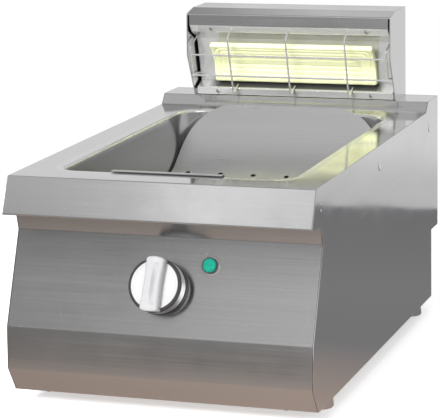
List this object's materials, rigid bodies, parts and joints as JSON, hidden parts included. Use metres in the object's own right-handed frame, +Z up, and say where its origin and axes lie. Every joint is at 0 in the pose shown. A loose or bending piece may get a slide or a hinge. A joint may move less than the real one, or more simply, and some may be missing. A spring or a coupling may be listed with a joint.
{
  "type": "chip warmer",
  "caption": "Counter-top electric chip warmer: steel cabinet with a pressed well, lift-out perforated false bottom and a guarded ceramic heat head at the back.",
  "frame": {"origin": "on the surface it stands on, under the centre of its bounding box", "axes": "+Z up, the control panel faces -Y, +X to the right as seen from the front"},
  "size_m": [0.4, 0.6786, 0.439],
  "materials": {
    "steel": "fine brushed stainless sheet",
    "bright_steel": "bright pressed stainless",
    "inner_steel": "mill-finish sheet",
    "wire": "polished stainless wire",
    "fastener": "polished screw",
    "glaze": "pale yellow-green glaze",
    "knob_chrome": "polished",
    "knob_black": "black moulding",
    "knob_silver": "silver lacquer",
    "lamp_green": "green moulding",
    "black_plastic": "black moulding",
    "block_white": "white insulating block",
    "lead_sleeve": "woven heat-proof sleeve",
    "conduit_grey": "ribbed conduit",
    "grommet_black": "black rubber",
    "brass": "brass",
    "foot_metal": "turned metal"
  },
  "bodies": {
    "cabinet": {"side_panel_left": "steel", "side_panel_right": "steel", "front_panel": "steel", "base_tray": "inner_steel", "back_panel": "inner_steel", "rear_cover": "steel", "worktop": "bright_steel", "well": "bright_steel", "head_base": "inner_steel", "head_cheek_left": "steel", "head_cheek_right": "steel", "hood": "steel", "reflector": "bright_steel", "ceramic_element": "glaze", "element_clip": "fastener", "element_leads": "lead_sleeve", "head_terminal_block": "block_white", "wire_guard": "wire", "reflector_screws": "fastener", "hood_screws": "fastener", "rear_cover_screws": "fastener", "back_panel_screws": "fastener", "front_panel_screws": "fastener", "energy_regulator": "black_plastic", "regulator_nut": "fastener", "pilot_bezel": "knob_chrome", "pilot_body": "black_plastic", "pilot_lens": "lamp_green", "pilot_nut": "black_plastic", "mains_terminal_block": "block_white", "control_wiring": "lead_sleeve", "head_conduit": "conduit_grey", "duct_grommet": "grommet_black", "cable_gland": "black_plastic", "gland_locknut": "black_plastic", "earth_stud": "brass", "earth_nut": "brass", "foot_sockets": "fastener"},
    "knob": {"knob_skirt": "knob_chrome", "knob_body": "knob_black", "knob_plate": "knob_silver", "regulator_shaft": "fastener"},
    "drain_insert": {"false_bottom": "bright_steel"},
    "foot_front_left": {"foot_cup_front_left": "foot_metal", "foot_stud_front_left": "fastener"},
    "foot_front_right": {"foot_cup_front_right": "foot_metal", "foot_stud_front_right": "fastener"},
    "foot_rear_left": {"foot_cup_rear_left": "foot_metal", "foot_stud_rear_left": "fastener"},
    "foot_rear_right": {"foot_cup_rear_right": "foot_metal", "foot_stud_rear_right": "fastener"}
  },
  "joints": [
    {"name": "knob_turn", "type": "hinge", "parent": "cabinet", "child": "knob", "pos_m": [0, -0.28994, 0.16341], "axis": [0, -0.9252, 0.3796], "range_deg": [-270, 0]},
    {"name": "false_bottom_lift", "type": "slide", "parent": "cabinet", "child": "drain_insert", "axis": [0, 0, 1], "range_m": [0, 0.2]},
    {"name": "foot_screw_front_left", "type": "slide", "parent": "cabinet", "child": "foot_front_left", "axis": [0, 0, 1], "range_m": [-0.012, 0]},
    {"name": "foot_screw_front_right", "type": "slide", "parent": "cabinet", "child": "foot_front_right", "axis": [0, 0, 1], "range_m": [-0.012, 0]},
    {"name": "foot_screw_rear_left", "type": "slide", "parent": "cabinet", "child": "foot_rear_left", "axis": [0, 0, 1], "range_m": [-0.012, 0]},
    {"name": "foot_screw_rear_right", "type": "slide", "parent": "cabinet", "child": "foot_rear_right", "axis": [0, 0, 1], "range_m": [-0.012, 0]}
  ]
}
